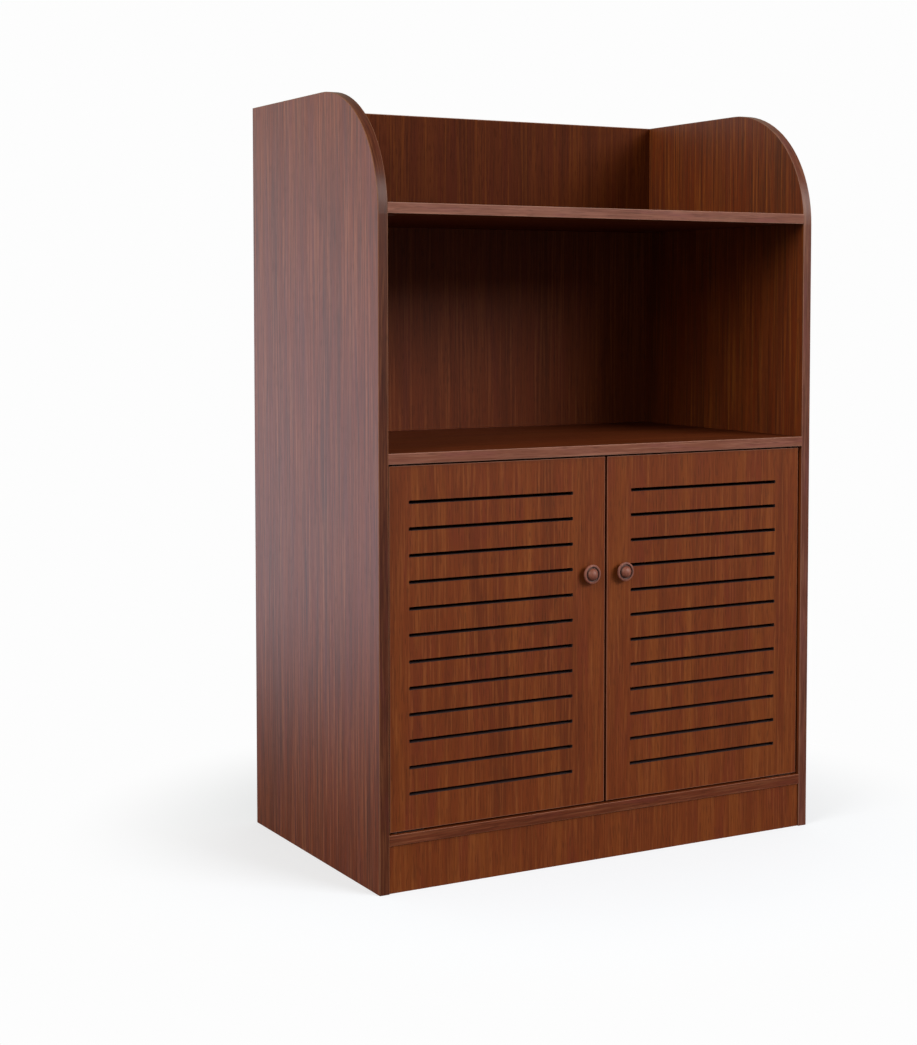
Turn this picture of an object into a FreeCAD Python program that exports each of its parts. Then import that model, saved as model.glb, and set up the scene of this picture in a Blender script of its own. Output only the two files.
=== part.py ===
import FreeCAD, Part

import math
import os
from collections import defaultdict

# A kitchen stand in wood-look laminate: a slotted two-door cupboard below, an open niche above it
# and a tray with rounded side corners on top. Millimetres, +Z up, the doors face -Y, and the origin
# is on the floor at the middle of the whole box, knobs included.

# Overall sizes, as printed in the photograph
WIDTH = 600.0
DEPTH = 350.0
HEIGHT = 900.0

# Boards
BOARD = 12.0
BAND = 0.8                 # thickness of the edge band
ARRIS = 0.5                # rounding of the banded edges
BACK_THICKNESS = 3.0
REBATE_WIDTH = 8.0         # rebate behind each side panel, for the back panel
BACK_PLAY = 0.5            # between the back panel's edge and its rebate

# Levels and outline
KICK_HEIGHT = 54.0
KICK_RECESS = 2.0
NICHE_HEIGHT = 264.0
TRAY_HEIGHT = 132.0
CORNER_RADIUS = 145.0
CABLE_RADIUS = 30.0        # outlet for a mains lead in the back of the niche
CABLE_RISE = 75.0          # its centre above the niche floor
CABLE_ACROSS = 200.0       # its centre left of the middle

# Doors
DOOR_THICKNESS = 12.0
DOOR_RECESS = 4.0
DOOR_SIDE_GAP = 2.5
DOOR_CENTRE_GAP = 3.0
DOOR_END_GAP = 2.0         # above and below each door

# Slots in the doors, measured from each door's hinge edge
SLOT_PITCH = 29.8
SLOT_END_MARGIN = 40.0     # least distance from a slot's centre to the door's upper or lower edge
SLOT_HEIGHT = 4.0
SLOT_LENGTH = 215.0
SLOT_CORNER = 1.0
LEFT_SLOT_MARGIN = 24.6
RIGHT_SLOT_MARGIN = 35.4

# Knobs
KNOB_RISE = 341.0          # above the floor
KNOB_OFFSET = 23.3         # from the middle of the cabinet
KNOB_PROJECTION = 13.0
KNOB_RIM_RADIUS = 11.5
KNOB_RIM_HEIGHT = 8.4
KNOB_BEAD = 1.5            # radius of the rim's rounded edge
KNOB_FLARE = 0.5           # hollow of the curve from the neck out to the rim
KNOB_NECK_RADIUS = 6.0
KNOB_NECK_HEIGHT = 2.6
KNOB_DOME_RADIUS = 7.0
KNOB_GROOVE_WIDTH = 1.8
KNOB_GROOVE_DEPTH = 1.3
KNOB_SCREW_RADIUS = 2.0
KNOB_SCREW_GRIP = 6.0      # screw length inside the knob
KNOB_SCREW_HEAD_RADIUS = 4.0
KNOB_SCREW_HEAD_HEIGHT = 2.4

# Pin hinges let into the top and bottom edges of the doors
AXIS_INSET = 8.0           # hinge axis from the door's edge
PLATE_THICKNESS = 2.0
PLATE_WIDTH = 8.0
PLATE_REACH = 34.0         # from the axis to the centre of the plate's far end
PLATE_SCREW_START = 17.0   # first screw from the axis
PLATE_SCREW_PITCH = 13.0
PIN_RADIUS = 2.0
PIN_PLAY = 0.05            # running fit between pin and socket
SOCKET_RADIUS = 3.5
SOCKET_DEPTH = 8.0
WASHER_RADIUS = 3.8
HINGE_PLAY = 0.1           # between the washer and the door's plate

# Countersunk wood screws
SCREW_RADIUS = 1.5
SCREW_LENGTH = 9.0
SCREW_POINT = 2.0
SINK_RADIUS = 2.8
SINK_DEPTH = 1.5
RECESS_ARM = 1.5           # reach of the driver's cross from the screw's axis
RECESS_WIDTH = 0.6
RECESS_DEPTH = 0.8
FIT_PLAY = 0.1             # clearance of hardware in its holes

# Cam fittings and dowels that join the boards to the side panels
BLIND_WALL = 3.0           # board left behind a blind hole
FITTING_INSET = 45.0       # first fitting from a shelf's front or back
DOWEL_STEP = 32.0          # from a cam bolt to the dowel beside it
CAM_SETBACK = 24.0         # cam centre from the board's end
CAM_RADIUS = 7.5
CAM_DEPTH = 9.5
BOLT_RADIUS = 3.0
BOLT_NECK_RADIUS = 2.1
BOLT_HEAD_RADIUS = 3.0
BOLT_HEAD_LENGTH = 4.0
BOLT_COLLAR = 2.0
BOLT_OVERRUN = 2.0         # the bolt's head past the middle of its cam
DOWEL_RADIUS = 3.0
DOWEL_GRIP = 22.0          # dowel length inside the board
DOWEL_CHAMFER = 0.8
KICK_BOLT_RISE = 17.0
KICK_DOWEL_DROP = 14.0     # below the kick plate's top edge
TRAY_BOLT_RISE = 30.0      # above the tray floor
TRAY_DOWEL_DROP = 35.0     # below the top of the tray back board

# Loose shelf inside the cupboard, on four pins
SHELF_RISE = 200.0         # its underside above the cupboard floor
SHELF_SETBACK = 20.0       # behind the doors
SHELF_PLAY = 1.0           # at its ends and back
SHELF_PIN_INSET = 45.0     # pins from the shelf's front and back
SHELF_PIN_RADIUS = 2.5
SHELF_PIN_TONGUE = 12.0
SHELF_PIN_WIDTH = 10.0
SHELF_PIN_THICKNESS = 2.0
SHELF_HOLE_PITCH = 32.0

# Double magnetic catch under the middle shelf, and its strike plates
CATCH_WIDTH = 56.0
CATCH_HEIGHT = 16.0
CATCH_DEPTH = 14.0
CATCH_FLANGE_DEPTH = 11.0
CATCH_FLANGE_THICKNESS = 2.5
CATCH_SCREW_SPREAD = 36.0
CATCH_GAP = 0.3            # between magnets and strike plates
MAGNET_OFFSET = 15.0
MAGNET_WIDTH = 16.0
MAGNET_DEPTH = 10.0
MAGNET_HEIGHT = 5.0
POLE_THICKNESS = 1.2
STRIKE_START = 5.0         # from the middle of the cabinet
STRIKE_LENGTH = 36.0
STRIKE_HEIGHT = 12.0
STRIKE_THICKNESS = 1.2
STRIKE_SCREW_INSET = 7.0   # from the plate's outer end

# Screws of the back panel
BACK_SCREW_END = 40.0      # first screw from the back panel's lower and upper edges
BACK_SCREW_ROWS = 5
BACK_SCREW_ACROSS = 170.0  # from the middle, along each shelf
BACK_SCREW_LENGTH = 16.0

# Working values
OVERCUT = 1.0              # how far a through cut runs past the faces that it opens
NEAR = 0.1                 # two places closer than this are one place

# Levels and planes that follow from the sizes above
KNOB_REACH = KNOB_PROJECTION - DOOR_RECESS
FRONT = -(DEPTH - KNOB_REACH) / 2
REAR = FRONT + DEPTH
INNER = WIDTH / 2 - BOARD
CUPBOARD_FLOOR = KICK_HEIGHT + BOARD
TRAY_FLOOR = HEIGHT - TRAY_HEIGHT
NICHE_FLOOR = TRAY_FLOOR - BOARD - NICHE_HEIGHT
CUPBOARD_TOP = NICHE_FLOOR - BOARD
SHELF_REAR = REAR - BACK_THICKNESS
DOOR_FRONT = FRONT + DOOR_RECESS
DOOR_REAR = DOOR_FRONT + DOOR_THICKNESS
DOOR_LOW = CUPBOARD_FLOOR + DOOR_END_GAP
DOOR_HIGH = CUPBOARD_TOP - DOOR_END_GAP
DOOR_EDGE = INNER - DOOR_SIDE_GAP
AXIS_X = DOOR_EDGE - AXIS_INSET
AXIS_Y = DOOR_FRONT + DOOR_THICKNESS / 2
SLOT_COUNT = 1 + int((DOOR_HIGH - DOOR_LOW - 2 * SLOT_END_MARGIN) / SLOT_PITCH)
SHELF_UNDERSIDES = {
    "bottom_shelf": KICK_HEIGHT,
    "middle_shelf": CUPBOARD_TOP,
    "top_shelf": TRAY_FLOOR - BOARD,
}

ALONG_X = FreeCAD.Vector(1, 0, 0)
ALONG_Y = FreeCAD.Vector(0, 1, 0)
UP = FreeCAD.Vector(0, 0, 1)
SIDES = {"left": -1, "right": 1}

pieces = defaultdict(list)   # node name to its solids
holes = defaultdict(list)    # node name to what is cut out of it


def point(x, y, z):
    """A point or direction in the cabinet's frame."""
    return FreeCAD.Vector(x, y, z)


def block(x_range, y_range, z_range):
    """A box between two values along each axis, in either order."""
    low = point(min(x_range), min(y_range), min(z_range))
    high = point(max(x_range), max(y_range), max(z_range))
    size = high - low
    return Part.makeBox(size.x, size.y, size.z, low)


def mirrored(side, near, far):
    """The X range between two distances from the middle, on the side given as -1 or 1."""
    return (side * near, side * far)


def turned(edges, base, direction):
    """A solid of revolution about direction, from (radius, 0, height) edges that close on the axis."""
    face = Part.Face(Part.Wire(edges))
    solid = face.revolve(point(0, 0, 0), UP, 360)
    solid.Placement = FreeCAD.Placement(base, FreeCAD.Rotation(UP, direction))
    return solid


def stepped(outline, base, direction):
    """A turned solid whose outline is a list of (radius, height) corners."""
    corners = [point(radius, 0, height) for radius, height in outline]
    return turned(Part.makePolygon(corners + corners[:1]).Edges, base, direction)


def edges_at(solid, test):
    """The edges of a solid whose two ends both pass a test."""
    return [edge for edge in solid.Edges if all(test(vertex.Point) for vertex in edge.Vertexes)]


def add_banded(name, blank, core, rounded):
    """Add a board and its edge band: the blank is rounded, then parted at the core's faces."""
    shape = blank.makeFillet(ARRIS, rounded)
    pieces[name] += shape.common(core).Solids
    pieces[name + "_edge_band"] += shape.cut(core).Solids


def add_cut(name, hole):
    """Cut a hole from a node, and from its edge band if it has one."""
    holes[name].append(hole)


def side_profile(inset):
    """A side panel's outline across the cabinet, drawn in by inset at its front, corner and top."""
    front = FRONT + inset
    top = HEIGHT - inset
    bend_y = FRONT + CORNER_RADIUS
    bend_z = HEIGHT - CORNER_RADIUS
    reach = (CORNER_RADIUS - inset) * math.cos(math.pi / 4)
    middle = point(0, bend_y - reach, bend_z + reach)
    edges = [
        Part.makeLine(point(0, REAR, 0), point(0, REAR, top)),
        Part.makeLine(point(0, REAR, top), point(0, bend_y, top)),
        Part.Arc(point(0, bend_y, top), middle, point(0, front, bend_z)).toShape(),
        Part.makeLine(point(0, front, bend_z), point(0, front, 0)),
        Part.makeLine(point(0, front, 0), point(0, REAR, 0)),
    ]
    return Part.Face(Part.Wire(edges))


def side_panel(name, side):
    """A side panel with its front edge, rounded corner and top edge banded."""
    start = point(min(side * INNER, side * WIDTH / 2), 0, 0)
    blank = side_profile(0).extrude(ALONG_X * BOARD).translated(start)
    core = side_profile(BAND).extrude(ALONG_X * BOARD).translated(start)

    def off_raw_edges(end):
        """Whether an edge's end lies in front of the raw rear edge, or at the panel's top."""
        return end.y < REAR - NEAR or end.z > HEIGHT - NEAR

    def follows_outline(edge):
        """Whether an edge follows the panel's outline, but not across its thickness or the floor."""
        low, high = [vertex.Point for vertex in edge.Vertexes]
        on_floor = max(low.z, high.z) < NEAR
        return abs(low.x - high.x) < NEAR and not on_floor

    rounded = [edge for edge in edges_at(blank, off_raw_edges) if follows_outline(edge)]
    add_banded(name, blank, core, rounded)
    add_cut(name, block(mirrored(side, INNER, INNER + REBATE_WIDTH), (SHELF_REAR, REAR),
                        (KICK_HEIGHT, TRAY_FLOOR)))


def shelf(name, half_width, front, rear, underside):
    """A horizontal board with its front edge banded."""
    x_range = (-half_width, half_width)
    z_range = (underside, underside + BOARD)
    blank = block(x_range, (front, rear), z_range)
    core = block(x_range, (front + BAND, rear), z_range)
    at_front = edges_at(blank, lambda end: end.y < front + NEAR)
    add_banded(name, blank, core, [edge for edge in at_front if edge.Length > BOARD + NEAR])


def carcass_boards():
    """The side panels, shelves, kick plate, tray back board and back panel."""
    for word, side in SIDES.items():
        side_panel(word + "_side_panel", side)
    for name, underside in SHELF_UNDERSIDES.items():
        shelf(name, INNER, FRONT, SHELF_REAR, underside)

    kick_front = FRONT + KICK_RECESS
    pieces["kick_plate"].append(block((-INNER, INNER), (kick_front, kick_front + BOARD),
                                      (0, KICK_HEIGHT)))

    y_range = (REAR - BOARD, REAR)
    blank = block((-INNER, INNER), y_range, (TRAY_FLOOR, HEIGHT))
    core = block((-INNER, INNER), y_range, (TRAY_FLOOR, HEIGHT - BAND))
    on_top = edges_at(blank, lambda end: end.z > HEIGHT - NEAR)
    add_banded("tray_back_board", blank, core, [edge for edge in on_top if edge.Length > BOARD + NEAR])

    half_width = INNER + REBATE_WIDTH - BACK_PLAY
    pieces["back_panel"].append(block((-half_width, half_width), (SHELF_REAR, REAR),
                                      (KICK_HEIGHT, TRAY_FLOOR)))
    outlet = point(-CABLE_ACROSS, SHELF_REAR - OVERCUT, NICHE_FLOOR + CABLE_RISE)
    add_cut("back_panel", Part.makeCylinder(CABLE_RADIUS, BACK_THICKNESS + 2 * OVERCUT, outlet, ALONG_Y))


def cam_joint(board, panel, end, outward, face):
    """Join a board to a side panel with a cam bolt and its cam.

    end is the bolt's place on the joint, outward points from the board into the side panel, and
    face points to the side of the board where the cam is turned.
    """
    depth = BOARD - BLIND_WALL
    tail = end + outward * depth
    length = depth + CAM_SETBACK + BOLT_OVERRUN
    pieces["cam_bolts"].append(stepped([
        (0, 0),
        (BOLT_RADIUS, 0),
        (BOLT_RADIUS, depth + BOLT_COLLAR),
        (BOLT_NECK_RADIUS, depth + BOLT_COLLAR),
        (BOLT_NECK_RADIUS, length - BOLT_HEAD_LENGTH),
        (BOLT_HEAD_RADIUS, length - BOLT_HEAD_LENGTH),
        (BOLT_HEAD_RADIUS, length),
        (0, length),
    ], tail, -outward))
    bore = Part.makeCylinder(BOLT_RADIUS + FIT_PLAY, length + FIT_PLAY, tail, -outward)
    mouth = end - outward * CAM_SETBACK + face * (BOARD / 2)
    cam = Part.makeCylinder(CAM_RADIUS - FIT_PLAY, CAM_DEPTH, mouth, -face)
    pieces["cam_housings"] += cam.cut([bore] + cross(mouth, -face)).Solids
    add_cut(board, bore)
    add_cut(board, Part.makeCylinder(CAM_RADIUS, CAM_DEPTH, mouth, -face))
    add_cut(panel, bore)


def dowel_joint(board, panel, end, outward):
    """Join a board to a side panel with a plain wooden dowel."""
    depth = BOARD - BLIND_WALL
    tail = end + outward * depth
    length = depth + DOWEL_GRIP
    pieces["dowels"].append(stepped([
        (0, 0),
        (DOWEL_RADIUS - DOWEL_CHAMFER, 0),
        (DOWEL_RADIUS, DOWEL_CHAMFER),
        (DOWEL_RADIUS, length - DOWEL_CHAMFER),
        (DOWEL_RADIUS - DOWEL_CHAMFER, length),
        (0, length),
    ], tail, -outward))
    bore = Part.makeCylinder(DOWEL_RADIUS + FIT_PLAY, length, tail, -outward)
    add_cut(board, bore)
    add_cut(panel, bore)


def carcass_joints():
    """Fit the cams and dowels at both ends of every board that meets a side panel."""
    for word, side in SIDES.items():
        panel = word + "_side_panel"
        outward = ALONG_X * side
        for name, underside in SHELF_UNDERSIDES.items():
            for edge, inward in ((FRONT, 1), (SHELF_REAR, -1)):
                end = point(side * INNER, edge + inward * FITTING_INSET, underside + BOARD / 2)
                cam_joint(name, panel, end, outward, -UP)
                dowel_joint(name, panel, end + ALONG_Y * (inward * DOWEL_STEP), outward)
        kick = point(side * INNER, FRONT + KICK_RECESS + BOARD / 2, 0)
        cam_joint("kick_plate", panel, kick + UP * KICK_BOLT_RISE, outward, ALONG_Y)
        dowel_joint("kick_plate", panel, kick + UP * (KICK_HEIGHT - KICK_DOWEL_DROP), outward)
        tray = point(side * INNER, REAR - BOARD / 2, 0)
        cam_joint("tray_back_board", panel, tray + UP * (TRAY_FLOOR + TRAY_BOLT_RISE), outward, ALONG_Y)
        dowel_joint("tray_back_board", panel, tray + UP * (HEIGHT - TRAY_DOWEL_DROP), outward)


def cross(head, into):
    """The driver's cross in a head: two narrow bars, sunk along into."""
    bars = []
    for arm, width in ((RECESS_ARM, RECESS_WIDTH / 2), (RECESS_WIDTH / 2, RECESS_ARM)):
        bar = Part.makeBox(2 * arm, 2 * width, RECESS_DEPTH, point(-arm, -width, 0))
        bar.Placement = FreeCAD.Placement(head, FreeCAD.Rotation(UP, into))
        bars.append(bar)
    return bars


def screw_shape(head, into, length, play):
    """A countersunk screw's outer shape with its head flush at head, grown all round by play."""
    shank = SCREW_RADIUS + play
    return stepped([
        (0, 0),
        (SINK_RADIUS + play, 0),
        (shank, SINK_DEPTH),
        (shank, length - SCREW_POINT + play),
        (0, length + play),
    ], head, into)


def add_screw(name, head, into, through, length=SCREW_LENGTH):
    """Add a countersunk screw, and cut its hole in every node that it passes through."""
    pieces[name] += screw_shape(head, into, length, 0).cut(cross(head, into)).Solids
    for node in through:
        add_cut(node, screw_shape(head, into, length, FIT_PLAY))


def back_panel_screws():
    """Screw the back panel to the side panels and to the rear edges of the shelves."""
    rise = (TRAY_FLOOR - KICK_HEIGHT - 2 * BACK_SCREW_END) / (BACK_SCREW_ROWS - 1)
    for word, side in SIDES.items():
        for row in range(BACK_SCREW_ROWS):
            head = point(side * (INNER + REBATE_WIDTH / 2), REAR,
                         KICK_HEIGHT + BACK_SCREW_END + row * rise)
            add_screw("back_panel_screws", head, -ALONG_Y, ("back_panel", word + "_side_panel"),
                      BACK_SCREW_LENGTH)
    for name, underside in SHELF_UNDERSIDES.items():
        for place in (-1, 0, 1):
            head = point(place * BACK_SCREW_ACROSS, REAR, underside + BOARD / 2)
            add_screw("back_panel_screws", head, -ALONG_Y, ("back_panel", name), BACK_SCREW_LENGTH)


def cupboard_shelf():
    """The loose shelf in the cupboard, its pins and the spare pin holes above and below."""
    front = DOOR_REAR + SHELF_SETBACK
    rear = SHELF_REAR - SHELF_PLAY
    underside = CUPBOARD_FLOOR + SHELF_RISE
    shelf("cupboard_shelf", INNER - SHELF_PLAY, front, rear, underside)
    depth = BOARD - BLIND_WALL
    axis_z = underside - SHELF_PIN_RADIUS
    for word, side in SIDES.items():
        for y in (front + SHELF_PIN_INSET, rear - SHELF_PIN_INSET):
            foot = point(side * (INNER + depth), y, axis_z)
            inward = ALONG_X * -side
            pin = Part.makeCylinder(SHELF_PIN_RADIUS, depth, foot, inward)
            tongue = block(mirrored(side, INNER - SHELF_PIN_TONGUE, INNER),
                           (y - SHELF_PIN_WIDTH / 2, y + SHELF_PIN_WIDTH / 2),
                           (underside - SHELF_PIN_THICKNESS, underside))
            pieces["shelf_pins"] += pin.fuse(tongue).Solids
            for step in (-1, 0, 1):
                hole = foot + UP * (step * SHELF_HOLE_PITCH)
                add_cut(word + "_side_panel",
                        Part.makeCylinder(SHELF_PIN_RADIUS + FIT_PLAY, depth, hole, inward))


def slot(x_range, z):
    """One through slot of a door, with rounded corners."""
    bar = block(x_range, (DOOR_FRONT - OVERCUT, DOOR_REAR + OVERCUT),
                (z - SLOT_HEIGHT / 2, z + SLOT_HEIGHT / 2))
    corners = [edge for edge in bar.Edges if abs(edge.Vertexes[0].Y - edge.Vertexes[1].Y) > NEAR]
    return bar.makeFillet(SLOT_CORNER, corners)


def door(name, side, margin):
    """A slotted door, banded all round. margin is the slots' distance from the hinge edge."""
    near = DOOR_CENTRE_GAP / 2
    y_range = (DOOR_FRONT, DOOR_REAR)
    blank = block(mirrored(side, near, DOOR_EDGE), y_range, (DOOR_LOW, DOOR_HIGH))
    core = block(mirrored(side, near + BAND, DOOR_EDGE - BAND), y_range,
                 (DOOR_LOW + BAND, DOOR_HIGH - BAND))
    rounded = [edge for edge in blank.Edges
               if abs(edge.Vertexes[0].Y - edge.Vertexes[1].Y) < NEAR]
    add_banded(name, blank, core, rounded)
    start = DOOR_EDGE - margin
    middle = (DOOR_LOW + DOOR_HIGH) / 2
    for row in range(SLOT_COUNT):
        rise = (row - (SLOT_COUNT - 1) / 2) * SLOT_PITCH
        add_cut(name, slot(mirrored(side, start - SLOT_LENGTH, start), middle + rise))


def knob(word, side):
    """A turned knob on the front of a door, with the screw that holds it from behind."""
    base = point(side * KNOB_OFFSET, DOOR_FRONT, KNOB_RISE)
    rim = KNOB_RIM_RADIUS - KNOB_BEAD
    under_rim = KNOB_RIM_HEIGHT - 2 * KNOB_BEAD
    flare = point((KNOB_NECK_RADIUS + rim) / 2 - KNOB_FLARE, 0,
                  (KNOB_NECK_HEIGHT + under_rim) / 2 + KNOB_FLARE)
    rise = KNOB_PROJECTION - KNOB_RIM_HEIGHT
    sphere = (KNOB_DOME_RADIUS ** 2 + rise ** 2) / (2 * rise)
    half_turn = math.asin(KNOB_DOME_RADIUS / sphere) / 2
    shoulder = point(sphere * math.sin(half_turn), 0,
                     KNOB_PROJECTION - sphere * (1 - math.cos(half_turn)))
    centre = point(0, 0, 0)
    neck_foot = point(KNOB_NECK_RADIUS, 0, 0)
    neck_top = point(KNOB_NECK_RADIUS, 0, KNOB_NECK_HEIGHT)
    bead_low = point(rim, 0, under_rim)
    bead_out = point(KNOB_RIM_RADIUS, 0, KNOB_RIM_HEIGHT - KNOB_BEAD)
    bead_high = point(rim, 0, KNOB_RIM_HEIGHT)
    groove_out = point(KNOB_DOME_RADIUS + KNOB_GROOVE_WIDTH, 0, KNOB_RIM_HEIGHT)
    groove_low = point(KNOB_DOME_RADIUS + KNOB_GROOVE_WIDTH / 2, 0, KNOB_RIM_HEIGHT - KNOB_GROOVE_DEPTH)
    dome_foot = point(KNOB_DOME_RADIUS, 0, KNOB_RIM_HEIGHT)
    crown = point(0, 0, KNOB_PROJECTION)
    body = turned([
        Part.makeLine(centre, neck_foot),
        Part.makeLine(neck_foot, neck_top),
        Part.Arc(neck_top, flare, bead_low).toShape(),
        Part.Arc(bead_low, bead_out, bead_high).toShape(),
        Part.makeLine(bead_high, groove_out),
        Part.Arc(groove_out, groove_low, dome_foot).toShape(),
        Part.Arc(dome_foot, shoulder, crown).toShape(),
        Part.makeLine(crown, centre),
    ], base, -ALONG_Y)
    pieces[word + "_knob"].append(body)

    head = point(base.x, DOOR_REAR + KNOB_SCREW_HEAD_HEIGHT, base.z)
    length = KNOB_SCREW_HEAD_HEIGHT + DOOR_THICKNESS + KNOB_SCREW_GRIP
    screw = stepped([
        (0, 0),
        (KNOB_SCREW_HEAD_RADIUS, 0),
        (KNOB_SCREW_HEAD_RADIUS, KNOB_SCREW_HEAD_HEIGHT),
        (KNOB_SCREW_RADIUS, KNOB_SCREW_HEAD_HEIGHT),
        (KNOB_SCREW_RADIUS, length),
        (0, length),
    ], head, -ALONG_Y)
    pieces[word + "_knob_screw"] += screw.cut(cross(head, -ALONG_Y)).Solids
    bore = Part.makeCylinder(KNOB_SCREW_RADIUS + FIT_PLAY, length + FIT_PLAY, head, -ALONG_Y)
    add_cut(word + "_door", bore)
    add_cut(word + "_knob", bore)


def plate_outline(side, level, up):
    """A hinge plate with round ends, from the hinge axis towards the middle of the cabinet.

    level is the plate's lower or upper face, and up is 1 or -1 for where it goes from there.
    """
    radius = PLATE_WIDTH / 2
    axis = point(side * AXIS_X, AXIS_Y, level)
    far = axis - ALONG_X * (side * PLATE_REACH)
    bar = block((axis.x, far.x), (AXIS_Y - radius, AXIS_Y + radius), (level, level + up * PLATE_THICKNESS))
    ends = [Part.makeCylinder(radius, PLATE_THICKNESS, place, UP * up) for place in (axis, far)]
    return bar.fuse(ends).removeSplitter()


def hinge(word, side, end_word, shelf_name, shelf_face, door_face, towards_door):
    """One pin hinge: a pin plate let into a shelf, a socket plate let into the door, and a washer.

    shelf_face and door_face are the two facing levels, and towards_door is 1 or -1, upwards or
    downwards from the shelf to the door.
    """
    door_name = word + "_door"
    prefix = word + "_" + end_word + "_hinge"
    axis = point(side * AXIS_X, AXIS_Y, 0)
    step = UP * towards_door

    shelf_plate = plate_outline(side, shelf_face, -towards_door)
    door_plate = plate_outline(side, door_face, towards_door)
    add_cut(shelf_name, shelf_plate)
    add_cut(door_name, door_plate)

    pin_length = DOOR_END_GAP + SOCKET_DEPTH - FIT_PLAY
    pin = Part.makeCylinder(PIN_RADIUS, pin_length + PLATE_THICKNESS,
                            axis + UP * shelf_face - step * PLATE_THICKNESS, step)
    pieces[prefix + "_pin_plate"] += shelf_plate.fuse(pin).removeSplitter().Solids

    mouth = axis + UP * door_face
    barrel = Part.makeCylinder(SOCKET_RADIUS, SOCKET_DEPTH, mouth, step)
    bore = Part.makeCylinder(PIN_RADIUS + PIN_PLAY, SOCKET_DEPTH, mouth, step)
    pieces[prefix + "_socket_plate"] += door_plate.fuse(barrel).removeSplitter().cut(bore).Solids
    add_cut(door_name, barrel)

    washer_foot = axis + UP * shelf_face
    height = DOOR_END_GAP - HINGE_PLAY
    washer = Part.makeCylinder(WASHER_RADIUS, height, washer_foot, step)
    eye = Part.makeCylinder(PIN_RADIUS + FIT_PLAY, height, washer_foot, step)
    pieces["hinge_washers"] += washer.cut(eye).Solids

    for index in range(2):
        along = PLATE_SCREW_START + index * PLATE_SCREW_PITCH
        place = axis - ALONG_X * (side * along)
        add_screw("pin_plate_screws", place + UP * shelf_face, -step,
                  (shelf_name, prefix + "_pin_plate"))
        add_screw(word + "_socket_plate_screws", place + UP * door_face, step,
                  (door_name, prefix + "_socket_plate"))


def catch():
    """The double magnetic catch under the middle shelf."""
    front = DOOR_REAR + STRIKE_THICKNESS + CATCH_GAP
    rear = front + CATCH_DEPTH
    low = CUPBOARD_TOP - CATCH_HEIGHT
    half_width = CATCH_WIDTH / 2
    case = block((-half_width, half_width), (front, rear), (low, CUPBOARD_TOP))
    flange = block((-half_width, half_width), (rear, rear + CATCH_FLANGE_DEPTH),
                   (CUPBOARD_TOP - CATCH_FLANGE_THICKNESS, CUPBOARD_TOP))
    middle = CUPBOARD_TOP - CATCH_HEIGHT / 2
    stack = MAGNET_HEIGHT / 2 + POLE_THICKNESS
    pockets = []
    for side in SIDES.values():
        x_range = mirrored(side, MAGNET_OFFSET - MAGNET_WIDTH / 2, MAGNET_OFFSET + MAGNET_WIDTH / 2)
        y_range = (front, front + MAGNET_DEPTH)
        pockets.append(block(x_range, y_range, (middle - stack, middle + stack)))
        pieces["catch_magnets"].append(block(x_range, y_range, (middle - MAGNET_HEIGHT / 2,
                                                               middle + MAGNET_HEIGHT / 2)))
        for up in (-1, 1):
            pole = (middle + up * MAGNET_HEIGHT / 2, middle + up * stack)
            pieces["catch_pole_plates"].append(block(x_range, y_range, pole))
    pieces["catch_case"] += case.fuse(flange).removeSplitter().cut(pockets).Solids
    for side in SIDES.values():
        head = point(side * CATCH_SCREW_SPREAD / 2, rear + CATCH_FLANGE_DEPTH / 2,
                     CUPBOARD_TOP - CATCH_FLANGE_THICKNESS)
        add_screw("catch_screws", head, UP, ("catch_case", "middle_shelf"))


def strike(word, side):
    """The steel plate that the catch holds, screwed to the back of a door."""
    middle = CUPBOARD_TOP - CATCH_HEIGHT / 2
    plate = block(mirrored(side, STRIKE_START, STRIKE_START + STRIKE_LENGTH),
                  (DOOR_REAR, DOOR_REAR + STRIKE_THICKNESS),
                  (middle - STRIKE_HEIGHT / 2, middle + STRIKE_HEIGHT / 2))
    name = word + "_strike_plate"
    pieces[name].append(plate)
    head = point(side * (STRIKE_START + STRIKE_LENGTH - STRIKE_SCREW_INSET),
                 DOOR_REAR + STRIKE_THICKNESS, middle)
    add_screw(word + "_strike_screw", head, -ALONG_Y, (name, word + "_door"))


def doors():
    """Both doors with their knobs, hinges and strike plates."""
    margins = {"left": LEFT_SLOT_MARGIN, "right": RIGHT_SLOT_MARGIN}
    for word, side in SIDES.items():
        door(word + "_door", side, margins[word])
        knob(word, side)
        hinge(word, side, "lower", "bottom_shelf", CUPBOARD_FLOOR, DOOR_LOW, 1)
        hinge(word, side, "upper", "middle_shelf", CUPBOARD_TOP, DOOR_HIGH, -1)
        strike(word, side)


def write_steps():
    """Cut every hole and write one STEP file per node."""
    os.makedirs("parts", exist_ok=True)
    for name, solids in pieces.items():
        cuts = holes.get(name.removesuffix("_edge_band"))
        if cuts:
            solids = [solid for piece in solids for solid in piece.cut(cuts).Solids]
        shape = solids[0] if len(solids) == 1 else Part.makeCompound(solids)
        shape.exportStep("parts/" + name + ".step")


carcass_boards()
carcass_joints()
back_panel_screws()
cupboard_shelf()
catch()
doors()
write_steps()
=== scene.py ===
"""Finishes, studio and camera for a kitchen stand with a slotted cupboard, a niche and a tray top."""
import logging
import math
from dataclasses import dataclass, field
from enum import Enum

import bpy
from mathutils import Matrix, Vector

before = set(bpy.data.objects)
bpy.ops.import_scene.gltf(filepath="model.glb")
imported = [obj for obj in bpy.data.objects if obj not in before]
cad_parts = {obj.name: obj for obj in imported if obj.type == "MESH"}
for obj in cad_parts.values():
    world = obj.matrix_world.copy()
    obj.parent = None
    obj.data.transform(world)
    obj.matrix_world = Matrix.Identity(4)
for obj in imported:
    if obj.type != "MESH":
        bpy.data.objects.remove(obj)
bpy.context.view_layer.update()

LOG = logging.getLogger("stand")

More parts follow.
